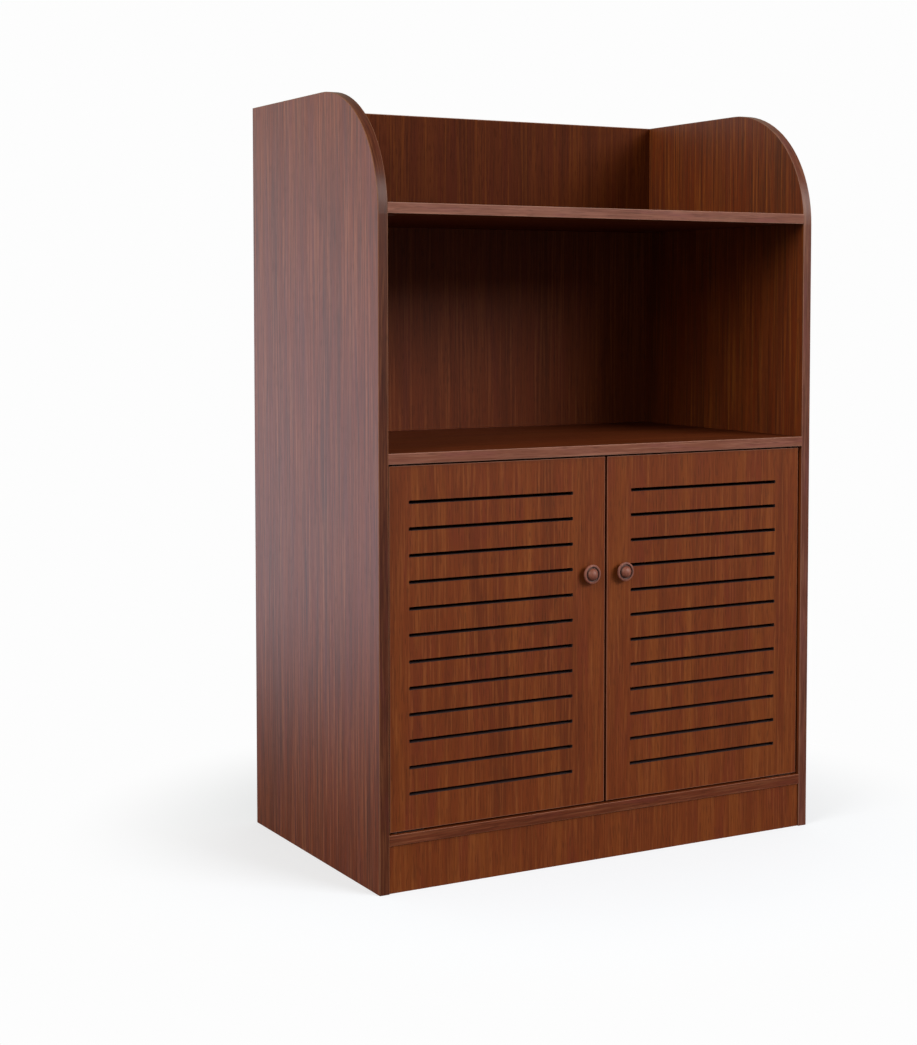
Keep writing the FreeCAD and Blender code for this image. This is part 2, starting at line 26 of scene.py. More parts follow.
MM = 0.001
SIDES = ("left", "right")
DOOR_SEEDS = (2.3, 4.9)
ENDS = ("upper", "lower")
PHOTO_LONG_SIDE = 1045.0      # the photograph's longer side, in pixels
COLOURS = {"data_type": "RGBA"}
NUMBERS = {"data_type": "FLOAT"}
PLASTIC_IOR = 1.5             # of melamine, PVC and lacquer alike

Vector3 = tuple[float, float, float]
Size2 = tuple[float, float]
Node = bpy.types.ShaderNode
Tree = bpy.types.NodeTree


class GrainRun(Enum):
    """How wood grain runs on a piece, as the rows that turn (x, y, z) into (across, deep, along)."""

    UPRIGHT = ((1, 0, 0), (0, 1, 0), (0, 0, 1))
    SIDEWAYS = ((0, 1, 0), (0, 0, 1), (1, 0, 0))
    BAND_ACROSS_X = ((1, 0, 0), (0, 0, 0), (0, 1, 1))
    BAND_ACROSS_Y = ((0, 1, 0), (0, 0, 0), (1, 0, 1))
    BAND_ACROSS_Z = ((0, 0, 1), (0, 0, 0), (1, 1, 0))


class Axis(Enum):
    """An axis of the stand, and its place in a vector."""

    X = 0
    Y = 1
    Z = 2


@dataclass(frozen=True)
class Lay:
    """How a finish lies on one piece.

    The axis is the one that a board's large faces look along, or the one across a band. The seed is
    the piece's own number, so that no two boards show the same print. Where the two faces of a board
    differ, inward is 1 or -1, for the way along the axis in which its inner face looks.
    """

    run: GrainRun = GrainRun.UPRIGHT
    axis: Axis = Axis.Y
    seed: float = 0.0
    inward: float = 0.0


def linear(colour: str) -> tuple[float, float, float, float]:
    """Turn an sRGB hex colour into linear RGBA.

    Args:
        colour: six hex digits after a hash sign.

    Returns:
        Linear red, green, blue and an alpha of 1.
    """
    values = [int(colour[place:place + 2], 16) / 255 for place in (1, 3, 5)]
    red, green, blue = [v / 12.92 if v <= 0.04045 else ((v + 0.055) / 1.055) ** 2.4 for v in values]
    return red, green, blue, 1.0


def add_node(tree: Tree, kind: str, settings: dict | None = None, inputs: dict | None = None) -> Node:
    """Add one shader node with its settings, its input values and its links.

    Args:
        tree: the node tree that it goes into.
        kind: Blender's name of the node's type, without the leading ShaderNode.
        settings: the node's own properties.
        inputs: what each input gets, by its name or its place: a value, a hex colour, an output, or
            a node, which stands for its first output in use.

    Returns:
        The new node.
    """
    node = tree.nodes.new("ShaderNode" + kind)
    for name, value in (settings or {}).items():
        setattr(node, name, value)
    for key, value in (inputs or {}).items():
        socket = node.inputs[key] if isinstance(key, int) else next(
            found for found in node.inputs if found.enabled and found.name == key)
        if isinstance(value, bpy.types.Node):
            value = next(found for found in value.outputs if found.enabled)
        if isinstance(value, bpy.types.NodeSocket):
            tree.links.new(value, socket)
        else:
            socket.default_value = linear(value) if isinstance(value, str) else value
    return node


@dataclass(frozen=True)
class Layer:
    """One layer of a printed wood figure: noise drawn out along the grain, in one tint.

    The noise lies mostly between 0.3 and 0.7. The tint is absent below the first value of span and
    has its full strength above the second.
    """

    tint: str
    size_mm: Size2               # a mark's width and length
    span: Size2
    strength: float
    detail: float = 1.0
    octave_fade: float = 0.55    # how strong each finer octave of the noise is

    def share(self, tree: Tree, place: Node, shift: float) -> Node:
        """Draw how much of the tint each point gets.

        Args:
            tree: the material's tree.
            place: the point as (across, deep, along) the grain, in metres.
            shift: moves the noise, so that two layers of one size differ.

        Returns:
            The node of the tint's share.
        """
        across, along = (1 / (size * MM) for size in self.size_mm)
        scaled = add_node(tree, "Mapping", inputs={
            "Vector": place, "Location": (shift, shift, shift), "Scale": (across, across, along)})
        noise = add_node(tree, "TexNoise", inputs={
            "Vector": scaled, "Scale": 1.0, "Detail": self.detail, "Roughness": self.octave_fade})
        return add_node(tree, "MapRange", inputs={
            "Value": noise, "From Min": self.span[0], "From Max": self.span[1], "To Max": self.strength})


@dataclass(frozen=True)
class WoodPrint:
    """A printed wood figure: soft bands, a cast that comes and goes, pale streaks, fibres and pores.

    Real pores are 0.2 mm wide, too fine to show at this size, so they are drawn 0.9 mm wide.
    """

    base: str
    dark: str
    light: str
    cast: str
    streak: str
    fibre: str
    pore: str
    band_mm: Size2 = (24.0, 620.0)
    cast_mm: Size2 = (15.0, 240.0)
    streak_mm: Size2 = (3.2, 190.0)
    fibre_mm: Size2 = (1.9, 100.0)
    pore_mm: Size2 = (0.9, 14.0)
    contrast: float = 1.0        # of the streaks and fibres
    sway_mm: float = 5.0         # how far the grain wanders from straight
    sway_size_mm: Size2 = (90.0, 340.0)
    layer_shift: float = 5.3     # how far one layer's noise lies from the next one's

    def layers(self) -> tuple[Layer, ...]:
        """The figure's layers, from the broadest to the pores."""
        return (Layer(self.dark, self.band_mm, (0.50, 0.68), 0.85, 2.0),
                Layer(self.light, self.band_mm, (0.50, 0.68), 0.85, 2.0),
                Layer(self.cast, self.cast_mm, (0.50, 0.70), 0.60, 2.0),
                Layer(self.streak, self.streak_mm, (0.50, 0.72), 0.70 * self.contrast),
                Layer(self.fibre, self.fibre_mm, (0.48, 0.72), 0.60 * self.contrast),
                Layer(self.pore, self.pore_mm, (0.58, 0.74), 0.40, 0.0))

    def place(self, tree: Tree, lay: Lay) -> Node:
        """Turn the surface point into grain space, let it wander, and shift it by the piece's seed.

        Args:
            tree: the material's tree.
            lay: how the figure lies on the piece.

        Returns:
            The node of the point as (across, deep, along) the grain, in metres.
        """
        point = add_node(tree, "TexCoord").outputs["Object"]
        parts = {}
        for count, (name, row) in enumerate(zip("XYZ", lay.run.value), start=1):
            turned = add_node(tree, "VectorMath", {"operation": "DOT_PRODUCT"}, {0: point, 1: row})
            parts[name] = add_node(tree, "Math", {"operation": "ADD"}, {
                0: turned.outputs["Value"], 1: lay.seed * count})
        straight = add_node(tree, "CombineXYZ", inputs=parts)
        across, along = (1 / (size * MM) for size in self.sway_size_mm)
        sway = add_node(tree, "TexNoise", inputs={"Scale": 1.0, "Detail": 1.0, "Vector": add_node(
            tree, "Mapping", inputs={"Vector": straight, "Scale": (across, across, along)})})
        reach = self.sway_mm * MM
        return add_node(tree, "VectorMath", {"operation": "MULTIPLY_ADD"}, {
            0: sway.outputs["Color"], 1: (reach, reach, 0.0), 2: straight})

    def draw(self, tree: Tree, lay: Lay) -> tuple[Node, Node]:
        """Draw the figure.

        Args:
            tree: the material's tree.
            lay: how the figure lies on the piece.

        Returns:
            The colour's node, and a node that is above 0 in the pores.
        """
        place = self.place(tree, lay)
        colour: object = self.base
        for count, layer in enumerate(self.layers()):
            share = layer.share(tree, place, self.layer_shift * count)
            colour = add_node(tree, "Mix", COLOURS, {"Factor": share, "A": colour, "B": layer.tint})
        return colour, share


@dataclass(frozen=True)
class Finish:
    """A surface that can be put on a piece, named for its material and how it is made."""

    name: str

    def shader(self, tree: Tree, lay: Lay) -> Node:
        """Draw the surface and return its shader node."""
        raise NotImplementedError(self.name)

    def material(self, piece: str, lay: Lay) -> bpy.types.Material:
        """Make the finish's material for one piece.

        Args:
            piece: the name of the piece.
            lay: how the finish lies on it.

        Returns:
            The material.
        """
        material = bpy.data.materials.new(f"{self.name}_{piece}")
        material.use_nodes = True
        tree = material.node_tree
        tree.nodes.clear()
        add_node(tree, "OutputMaterial", inputs={"Surface": self.shader(tree, lay)})
        return material


@dataclass(frozen=True)
class ChipCore:
    """Sawn chipboard, where a board is cut: pale chips with darker resin between them."""

    chip: str = "#a98c63"
    resin: str = "#6e5638"
    chip_mm: float = 2.2

    def draw(self, tree: Tree) -> Node:
        """Draw the chips and return their colour node."""
        point = add_node(tree, "TexCoord").outputs["Object"]
        chips = add_node(tree, "TexVoronoi", inputs={"Vector": point, "Scale": 1 / (self.chip_mm * MM)})
        return add_node(tree, "Mix", COLOURS, {
            "Factor": chips.outputs["Color"], "A": self.chip, "B": self.resin})


@dataclass(frozen=True)
class PaintedCut:
    """A routed cut sealed with thin dark paint: black lines to the eye, with a faint grey lip below."""

    paint: str = "#4c3f40"
    thin: str = "#33282a"
    brush_mm: float = 3.0

    def draw(self, tree: Tree) -> Node:
        """Draw the paint, a little uneven over the fibres, and return its colour node."""
        point = add_node(tree, "TexCoord").outputs["Object"]
        uneven = add_node(tree, "TexNoise", inputs={"Vector": point, "Scale": 1 / (self.brush_mm * MM)})
        return add_node(tree, "Mix", COLOURS, {"Factor": uneven, "A": self.paint, "B": self.thin})


@dataclass(frozen=True)
class Laminate(Finish):
    """Melamine film pressed on chipboard: a printed figure under a satin skin with embossed pores.

    The eye sees a calm red-brown wood with fine streaks, and at a flat angle a cool sheen that the
    pores break up. On an inner face the film is painted darker and warmer, as painted shade inside
    the stand, and is pressed against a duller plate.
    """

    figure: WoodPrint
    core: ChipCore | PaintedCut
    roughness: float = 0.40
    gloss: float = 0.5
    core_roughness: float = 0.75
    pore_dulling: float = 0.15   # roughness that a pore gains
    emboss_mm: float = 0.03
    emboss_strength: float = 0.5
    film_edge: float = 0.7       # above this share of the normal, a face is film and not a cut
    inner_painted_shade: str = "#ebdd7e"   # painted shade: what the print's colours are multiplied by on an inner face
    inner_dulling: float = 0.15  # roughness that an inner face gains

    def shader(self, tree: Tree, lay: Lay) -> Node:
        """Draw film on the two large faces and the core wherever the board is cut.

        Args:
            tree: the material's tree.
            lay: how the film lies on the board.

        Returns:
            The shader's node.
        """
        film, pores = self.figure.draw(tree, lay)
        normal = add_node(tree, "SeparateXYZ", inputs={0: add_node(tree, "TexCoord").outputs["Normal"]})
        along = normal.outputs[lay.axis.value]
        facing = add_node(tree, "Math", {"operation": "ABSOLUTE"}, {0: along})
        is_film = add_node(tree, "Math", {"operation": "GREATER_THAN"}, {0: facing, 1: self.film_edge})
        inward = add_node(tree, "Math", {"operation": "MULTIPLY"}, {0: along, 1: lay.inward})
        is_inner = add_node(tree, "Math", {"operation": "GREATER_THAN"}, {0: inward, 1: self.film_edge})
        # painted shade: on an inner face the film is multiplied darker and warmer
        film = add_node(tree, "Mix", {**COLOURS, "blend_type": "MULTIPLY"}, {
            "Factor": is_inner, "A": film, "B": self.inner_painted_shade})
        satin = add_node(tree, "MapRange", inputs={
            "Value": pores, "To Min": self.roughness, "To Max": self.roughness + self.pore_dulling})
        satin = add_node(tree, "Math", {"operation": "MULTIPLY_ADD"}, {
            0: is_inner, 1: self.inner_dulling, 2: satin})
        return add_node(tree, "BsdfPrincipled", inputs={
            "Base Color": add_node(tree, "Mix", COLOURS, {
                "Factor": is_film, "A": self.core.draw(tree), "B": film}),
            "Roughness": add_node(tree, "Mix", NUMBERS, {
                "Factor": is_film, "A": self.core_roughness, "B": satin}),
            "Normal": add_node(tree, "Bump", {"invert": True}, {
                "Height": pores, "Distance": self.emboss_mm * MM, "Strength": self.emboss_strength}),
            "IOR": PLASTIC_IOR, "Specular IOR Level": self.gloss})


@dataclass(frozen=True)
class PrintedBand(Finish):
    """PVC edge band, rolled on hot: a wood print, with a pale line at each arris, partly where it was
    scraped and partly a painted highlight.

    The eye sees the board's edge greyer than its faces, with a fine light outline.
    """

    figure: WoodPrint
    arris_pale_and_highlight: str = "#8f6a5c"
    arris_mm: float = 0.9
    arris_share: float = 0.75    # of the arris's colour, at the very edge
    width_mm: float = 12.0
    roughness: float = 0.34
    gloss: float = 0.22
    emboss_mm: float = 0.02
    emboss_strength: float = 0.4

    def shader(self, tree: Tree, lay: Lay) -> Node:
        """Draw the print and the two pale arrises, scraped and with a painted highlight.

        Args:
            tree: the material's tree.
            lay: how the band lies, with the axis across its width.

        Returns:
            The shader's node.
        """
        colour, pores = self.figure.draw(tree, lay)
        share = add_node(tree, "SeparateXYZ", inputs={0: add_node(tree, "TexCoord").outputs["Generated"]})
        middle = add_node(tree, "Math", {"operation": "SUBTRACT"}, {
            0: share.outputs[lay.axis.value], 1: 0.5})
        aside = add_node(tree, "Math", {"operation": "ABSOLUTE"}, {0: middle})
        # partly painted highlight: a pale line along each arris, also standing for the scraped PVC
        scraped_and_highlit = add_node(tree, "MapRange", inputs={
            "Value": aside, "From Min": 0.5 - self.arris_mm / self.width_mm, "From Max": 0.5,
            "To Max": self.arris_share})
        return add_node(tree, "BsdfPrincipled", inputs={
            "Base Color": add_node(tree, "Mix", COLOURS, {
                "Factor": scraped_and_highlit, "A": colour, "B": self.arris_pale_and_highlight}),
            "Roughness": self.roughness,
            "Normal": add_node(tree, "Bump", {"invert": True}, {
                "Height": pores, "Distance": self.emboss_mm * MM, "Strength": self.emboss_strength}),
            "IOR": PLASTIC_IOR, "Specular IOR Level": self.gloss})


@dataclass(frozen=True)
class Hardboard(Finish):
    """Wet-pressed hardboard with a printed film on one side.

    The eye sees the niche's dark wood from the front, and matt brown flecked fibre from behind.
    """

    figure: WoodPrint
    fibre: str = "#6b4a31"
    fleck: str = "#4d3422"
    fleck_mm: float = 4.0
    roughness: float = 0.8
    film_roughness: float = 0.5
    gloss: float = 0.1
    relief_mm: float = 0.08
    relief_strength: float = 0.5
    film_edge: float = -0.7      # below this y of the normal, a face is the film in front

    def shader(self, tree: Tree, lay: Lay) -> Node:
        """Draw film on the front face and bare fibre elsewhere.

        Args:
            tree: the material's tree.
            lay: how the film lies on the panel.

        Returns:
            The shader's node.
        """
        film, _ = self.figure.draw(tree, lay)
        coordinate = add_node(tree, "TexCoord")
        flecks = add_node(tree, "TexNoise", inputs={
            "Vector": coordinate.outputs["Object"], "Scale": 1 / (self.fleck_mm * MM), "Detail": 5.0,
            "Roughness": 0.7})
        bare = add_node(tree, "Mix", COLOURS, {"A": self.fibre, "B": self.fleck, "Factor": add_node(
            tree, "MapRange", inputs={"Value": flecks, "From Min": 0.35, "From Max": 0.65})})
        normal = add_node(tree, "SeparateXYZ", inputs={0: coordinate.outputs["Normal"]})
        is_film = add_node(tree, "Math", {"operation": "LESS_THAN"}, {
            0: normal.outputs["Y"], 1: self.film_edge})
        return add_node(tree, "BsdfPrincipled", inputs={
            "Base Color": add_node(tree, "Mix", COLOURS, {"Factor": is_film, "A": bare, "B": film}),
            "Roughness": add_node(tree, "Mix", NUMBERS, {
                "Factor": is_film, "A": self.roughness, "B": self.film_roughness}),
            "Normal": add_node(tree, "Bump", inputs={
                "Height": flecks, "Distance": self.relief_mm * MM, "Strength": self.relief_strength}),
            "Specular IOR Level": self.gloss})


@dataclass(frozen=True)
class TurnedWood(Finish):
    """Beech turned on a lathe, stained red-brown and lacquered.

    The eye sees a pinkish brown knob with a soft light on its dome, and a dark ring of painted shade
    around its groove. Real tool rings are 0.2 mm apart, too fine to show, so they are drawn
    0.6 mm apart.
    """

    figure: WoodPrint
    # painted shade: the dark colour round the groove
    painted_groove_shade: str = "#2c0f09"
    roughness: float = 0.55
    coat: float = 0.2
    coat_roughness: float = 0.5
    ring_mm: float = 0.6
    ring_share: float = 0.25     # height of a ring against a pore's depth
    relief_mm: float = 0.02
    relief_strength: float = 0.15
    width_mm: float = 23.0
    groove_mm: float = 8.0       # radius of the groove's lowest circle
    groove_shade_mm: float = 2.2      # how far the painted shade reaches to each side of it
    groove_shade_share: float = 0.85

    def shader(self, tree: Tree, lay: Lay) -> Node:
        """Draw the stained grain, the lathe's rings and the painted shade round the groove.

        Args:
            tree: the material's tree.
            lay: how the grain lies in the knob.

        Returns:
            The shader's node.
        """
        colour, pores = self.figure.draw(tree, lay)
        coordinate = add_node(tree, "TexCoord")
        rings = add_node(tree, "TexWave", {"bands_direction": "Y"}, {
            "Vector": coordinate.outputs["Object"], "Scale": 1 / (self.ring_mm * MM * 2 * math.pi)})
        flat = add_node(tree, "VectorMath", {"operation": "MULTIPLY_ADD"}, {
            0: coordinate.outputs["Generated"], 1: (1.0, 0.0, 1.0), 2: (-0.5, 0.0, -0.5)})
        radius = add_node(tree, "VectorMath", {"operation": "LENGTH"}, {0: flat}).outputs["Value"]
        # painted shade: darker round the groove, by the distance from the knob's axis
        past = add_node(tree, "Math", {"operation": "SUBTRACT"}, {
            0: radius, 1: self.groove_mm / self.width_mm})
        aside = add_node(tree, "Math", {"operation": "ABSOLUTE"}, {0: past})
        groove_shade_factor = add_node(tree, "MapRange", {"interpolation_type": "SMOOTHSTEP"}, {
            "Value": aside, "From Max": self.groove_shade_mm / self.width_mm,
            "To Min": self.groove_shade_share, "To Max": 0.0})
        tooling = add_node(tree, "Math", {"operation": "MULTIPLY_ADD"}, {
            0: rings, 1: self.ring_share, 2: pores})
        return add_node(tree, "BsdfPrincipled", inputs={
            "Base Color": add_node(tree, "Mix", COLOURS, {
                "Factor": groove_shade_factor, "A": colour, "B": self.painted_groove_shade}),
            "Roughness": self.roughness, "IOR": PLASTIC_IOR,
            "Normal": add_node(tree, "Bump", {"invert": True}, {
                "Height": tooling, "Distance": self.relief_mm * MM, "Strength": self.relief_strength}),
            "Coat Weight": self.coat, "Coat Roughness": self.coat_roughness})


@dataclass(frozen=True)
class Metal(Finish):
    """Plated or cast metal with faint handling marks, which dull its shine here and there."""

    colour: str
    worn: str
    roughness: float
    mark_mm: float = 3.0
    polish: float = 0.05         # roughness that an unmarked place lacks
    dulling: float = 0.08        # roughness that a mark gains

    def shader(self, tree: Tree, lay: Lay) -> Node:
        """Draw the metal and its marks, the same whichever way it lies."""
        point = add_node(tree, "TexCoord").outputs["Object"]
        marks = add_node(tree, "TexNoise", inputs={
            "Vector": point, "Scale": 1 / (self.mark_mm * MM), "Detail": 4.0})
        return add_node(tree, "BsdfPrincipled", inputs={
            "Base Color": add_node(tree, "Mix", COLOURS, {
                "Factor": marks, "A": self.colour, "B": self.worn}),
            "Roughness": add_node(tree, "MapRange", inputs={
                "Value": marks, "From Min": 0.3, "From Max": 0.7,
                "To Min": self.roughness - self.polish, "To Max": self.roughness + self.dulling}),
            "Metallic": 1.0})


@dataclass(frozen=True)
class Solid(Finish):
    """Plastic, ferrite or plain wood of one stuff all through, with a fine even texture."""

    colour: str
    shade: str
    roughness: float
    texture_mm: float = 0.5
    relief_mm: float = 0.02
    relief_strength: float = 0.5

    def shader(self, tree: Tree, lay: Lay) -> Node:
        """Draw the stuff and its texture, the same whichever way it lies."""
        point = add_node(tree, "TexCoord").outputs["Object"]
        texture = add_node(tree, "TexNoise", inputs={
            "Vector": point, "Scale": 1 / (self.texture_mm * MM), "Detail": 2.0})
        return add_node(tree, "BsdfPrincipled", inputs={
            "Base Color": add_node(tree, "Mix", COLOURS, {
                "Factor": texture, "A": self.colour, "B": self.shade}),
            "Roughness": self.roughness,
            "Normal": add_node(tree, "Bump", inputs={
                "Height": texture, "Distance": self.relief_mm * MM, "Strength": self.relief_strength})})


# The films and bands are printed by gravure with a sapele figure. The eye sees fine straight grain:
# pinkish on the side panels, warmer and calmer on the doors, and darker on the boards inside.
SIDE_PRINT = WoodPrint(base="#7d3819", dark="#67311b", light="#894525", cast="#753a37",
                       streak="#a05f3f", fibre="#522719", pore="#43200e", streak_mm=(3.8, 190.0),
                       fibre_mm=(2.4, 110.0), contrast=1.3)
DOOR_PRINT = WoodPrint(base="#6c3317", dark="#5f2c15", light="#763d1a", cast="#682d1b",
                       streak="#874d26", fibre="#572912", pore="#43200e", band_mm=(22.0, 300.0),
                       cast_mm=(20.0, 90.0), streak_mm=(3.2, 95.0), fibre_mm=(2.0, 60.0),
                       contrast=0.75)
INNER_PRINT = WoodPrint(base="#632c12", dark="#572710", light="#6c3416", cast="#5e2818",
                        streak="#7a401f", fibre="#4b210e", pore="#3b190a")
# Painted shade: the tray's back board is printed darker than the other boards inside, for the shade of
# its recess.
SHADED_TRAY_PRINT = WoodPrint(base="#4b200b", dark="#401b09", light="#55270e", cast="#481b0c",
                       streak="#60300f", fibre="#361607", pore="#2b1005")
# On a 12 mm band only a few streaks show, so its marks are narrower and shorter than a board's.
BAND_MARKS = {"band_mm": (14.0, 120.0), "cast_mm": (9.0, 60.0), "streak_mm": (2.6, 90.0),
              "fibre_mm": (1.4, 40.0)}
SIDE_BAND_PRINT = WoodPrint(base="#4d2517", dark="#412014", light="#5d3220", cast="#512722",
                            streak="#6b4029", fibre="#37190f", pore="#2e160f", **BAND_MARKS)
# Painted light: the right side's band is printed paler than the left's, for the lamp on its right.
LIT_SIDE_BAND_PRINT = WoodPrint(base="#623628", dark="#553024", light="#74473a", cast="#663a38",
                                 streak="#7f5640", fibre="#482619", pore="#3c2117", **BAND_MARKS)
# Painted light: the upper shelves' bands are printed paler than the lower ones, for the light from above.
LIT_SHELF_BAND_PRINT = WoodPrint(base="#774939", dark="#6b3f31", light="#845648", cast="#7b4844",
                             streak="#8f6250", fibre="#603528", pore="#4a2a1e", **BAND_MARKS)
LOW_BAND_PRINT = WoodPrint(base="#612f1c", dark="#552a17", light="#6e3e28", cast="#632f26",
                           streak="#7c4a32", fibre="#472112", pore="#3a1c10", **BAND_MARKS)
# The knobs' own grain, under the stain: short, and finer than any print.
KNOB_PRINT = WoodPrint(base="#7c4230", dark="#602c1e", light="#8c513e", cast="#7a3f33",
                       streak="#955a46", fibre="#5e2d1f", pore="#3a1810", band_mm=(9.0, 40.0),
                       cast_mm=(6.0, 20.0), streak_mm=(2.2, 26.0), fibre_mm=(0.8, 14.0),
                       pore_mm=(0.4, 4.0), sway_mm=1.5)

# The side panels' film is the glossiest, so light from the wall behind lies on it as a cool veil. The
# doors' is almost without shine, and the inner boards' has none, so they look deep and warm.
SIDE_BOARD = Laminate("pressed_melamine_film", SIDE_PRINT, ChipCore(), roughness=0.34, gloss=0.62)
DOOR_BOARD = Laminate("pressed_melamine_film", DOOR_PRINT, PaintedCut(), gloss=0.12)
INNER_BOARD = Laminate("pressed_melamine_film", INNER_PRINT, ChipCore(), roughness=0.5, gloss=0.1)
TRAY_BOARD = Laminate("pressed_melamine_film", SHADED_TRAY_PRINT, ChipCore(), roughness=0.5, gloss=0.03)
# The bands look like the board's own edge under a pale outline, darkest round the left side's corner. The
# right side's band and the upper shelves' bands are printed paler, as painted light from the lamp on the
# right and from above, and the lower bands' outline is darker, as painted shade.
SIDE_BAND = PrintedBand("rolled_pvc_band", SIDE_BAND_PRINT, arris_pale_and_highlight="#94684c", gloss=0.15)
LIT_SIDE_BAND = PrintedBand("rolled_pvc_band", LIT_SIDE_BAND_PRINT, arris_pale_and_highlight="#96705e", gloss=0.2)
LIT_SHELF_BAND = PrintedBand("rolled_pvc_band", LIT_SHELF_BAND_PRINT, arris_pale_and_highlight="#a07a6a", gloss=0.15)
LOW_BAND = PrintedBand("rolled_pvc_band", LOW_BAND_PRINT, arris_pale_and_highlight="#8c5a45", gloss=0.15)
BACK_BOARD = Hardboard("pressed_hardboard", INNER_PRINT)
KNOB_WOOD = TurnedWood("turned_lacquered_beech", KNOB_PRINT)
# Barrel-plated screws and plates look silvery and softly blurred, and cast housings duller and greyer.
ZINC_PLATE = Metal("zinc_plated_steel", "#c4c8c8", "#a9adae", 0.42)
DIE_CAST = Metal("die_cast_zinc", "#a7a8a6", "#8f908e", 0.46, mark_mm=1.2)
# Spark-eroded moulds leave the plastics finely matt. Ferrite is rougher, like dark stone, and the
# dowels are bare pale wood.
BLACK_ABS = Solid("moulded_abs", "#17171a", "#101012", 0.48)
NYLON = Solid("moulded_nylon", "#2e1a12", "#24140e", 0.50)
FERRITE = Solid("sintered_ferrite", "#343233", "#262526", 0.72, texture_mm=0.3, relief_mm=0.04)
BEECH = Solid("planed_beech", "#d2a974", "#b98c58", 0.65, texture_mm=1.5)


def dress(finish: Finish, nodes: list[str], lay: Lay = Lay()) -> None:
    """Give CAD nodes one material.

    Args:
        finish: the finish that they get.
        nodes: the nodes' names, the first of which names the material.
        lay: how the finish lies on them.
    """
    material = finish.material(nodes[0], lay)
    for node in nodes:
        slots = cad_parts[node].data.materials
        slots.clear()
        slots.append(material)


@dataclass
class Carcass:
    """The fixed boards and their edge bands."""

    shelves: tuple[str, ...] = ("bottom_shelf", "middle_shelf", "top_shelf", "cupboard_shelf")
    # painted light: these shelves get the paler band
    painted_lit_bands: tuple[str, ...] = ("middle_shelf", "top_shelf")
    side_seed: float = 1.7         # a piece's seed is its group's plus its place in the group
    side_band_seed: float = 5.1
    shelf_seed: float = 0.6
    shelf_band_seed: float = 3.3
    kick_seed: float = 9.4
    tray_seed: float = 6.2
    tray_band_seed: float = 8.8
    back_seed: float = 7.3
    pieces: int = field(default=0, init=False)

    def dress_sides(self) -> None:
        """Dress the two side panels and their bands."""
        for count, side in enumerate(SIDES):
            name = side + "_side_panel"
            inward = 1.0 if side == "left" else -1.0
            # painted light: the right side gets the paler band
            band = SIDE_BAND if side == "left" else LIT_SIDE_BAND
            dress(SIDE_BOARD, [name], Lay(GrainRun.UPRIGHT, Axis.X, self.side_seed + count, inward))
            dress(band, [name + "_edge_band"],
                  Lay(GrainRun.BAND_ACROSS_X, Axis.X, self.side_band_seed + count))
            self.pieces += 2

    def dress_shelves(self) -> None:
        """Dress the shelves and their front bands, grain along the shelf."""
        for count, name in enumerate(self.shelves):
            # painted light: the upper shelves get the paler band
            band = LIT_SHELF_BAND if name in self.painted_lit_bands else LOW_BAND
            dress(INNER_BOARD, [name], Lay(GrainRun.SIDEWAYS, Axis.Z, self.shelf_seed + count))
            dress(band, [name + "_edge_band"],
                  Lay(GrainRun.BAND_ACROSS_Z, Axis.Z, self.shelf_band_seed + count))
            self.pieces += 2

    def dress_uprights(self) -> None:
        """Dress the kick plate, the tray back board with its band, and the back panel."""
        dress(DOOR_BOARD, ["kick_plate"], Lay(seed=self.kick_seed))
        dress(TRAY_BOARD, ["tray_back_board"], Lay(seed=self.tray_seed))
        dress(SIDE_BAND, ["tray_back_board_edge_band"],
              Lay(GrainRun.BAND_ACROSS_Y, Axis.Y, self.tray_band_seed))
        dress(BACK_BOARD, ["back_panel"], Lay(seed=self.back_seed))
        self.pieces += 4

    def build(self) -> None:
        """Dress every fixed board."""
        self.dress_sides()
        self.dress_shelves()
        self.dress_uprights()
        LOG.info("carcass: %d boards and bands dressed", self.pieces)


@dataclass
class Door:
    """One slotted door with its band and knob."""

    side: str
    seed: float
    band_step: float = 0.5       # from the door's seed to its band's

    def build(self) -> None:
        """Dress the door and its knob."""
        name = self.side + "_door"
        dress(DOOR_BOARD, [name], Lay(seed=self.seed))
        dress(LOW_BAND, [name + "_edge_band"],
              Lay(GrainRun.BAND_ACROSS_Y, Axis.Y, self.seed + self.band_step))
        dress(KNOB_WOOD, [self.side + "_knob"], Lay(seed=self.seed))
        LOG.info("%s door: board, band and knob dressed", self.side)


@dataclass
class Fittings:
    """Hinges, catch, screws and joint fittings."""

    steel: tuple[str, ...] = ("cam_bolts", "shelf_pins", "pin_plate_screws", "catch_screws",
                              "catch_pole_plates", "back_panel_screws")
    door_steel: tuple[str, ...] = (
        "knob_screw", "strike_plate", "strike_screw", "socket_plate_screws",
        *(f"{end}_hinge_{plate}_plate" for end in ENDS for plate in ("pin", "socket")))

    def build(self) -> None:
        """Dress the metalwork and the small mouldings."""
        steel = [*self.steel, *(f"{side}_{word}" for side in SIDES for word in self.door_steel)]
        others = ((DIE_CAST, "cam_housings"), (NYLON, "hinge_washers"), (BLACK_ABS, "catch_case"),
                  (FERRITE, "catch_magnets"), (BEECH, "dowels"))
        dress(ZINC_PLATE, steel)
        for finish, node in others:
            dress(finish, [node])
        LOG.info("fittings: %d steel nodes and %d others dressed", len(steel), len(others))


@dataclass(frozen=True)
class SoftBox:
    """One studio lamp with a diffuser, aimed at a point."""

    name: str
    place: Vector3
    aim: Vector3
    size: Size2
    watts: float
    colour: str = "#ffffff"

    def build(self) -> None:
        """Add the lamp, unseen by the camera."""
        lamp = bpy.data.lights.new(self.name, "AREA")
        lamp.shape = "RECTANGLE"
        lamp.size, lamp.size_y = self.size
        lamp.energy = self.watts
        lamp.color = linear(self.colour)[:3]
        holder = bpy.data.objects.new(self.name, lamp)
        bpy.context.scene.collection.objects.link(holder)
        holder.location = self.place
        reach = Vector(self.aim) - Vector(self.place)
        holder.rotation_euler = reach.to_track_quat("-Z", "Y").to_euler()
        holder.visible_camera = False


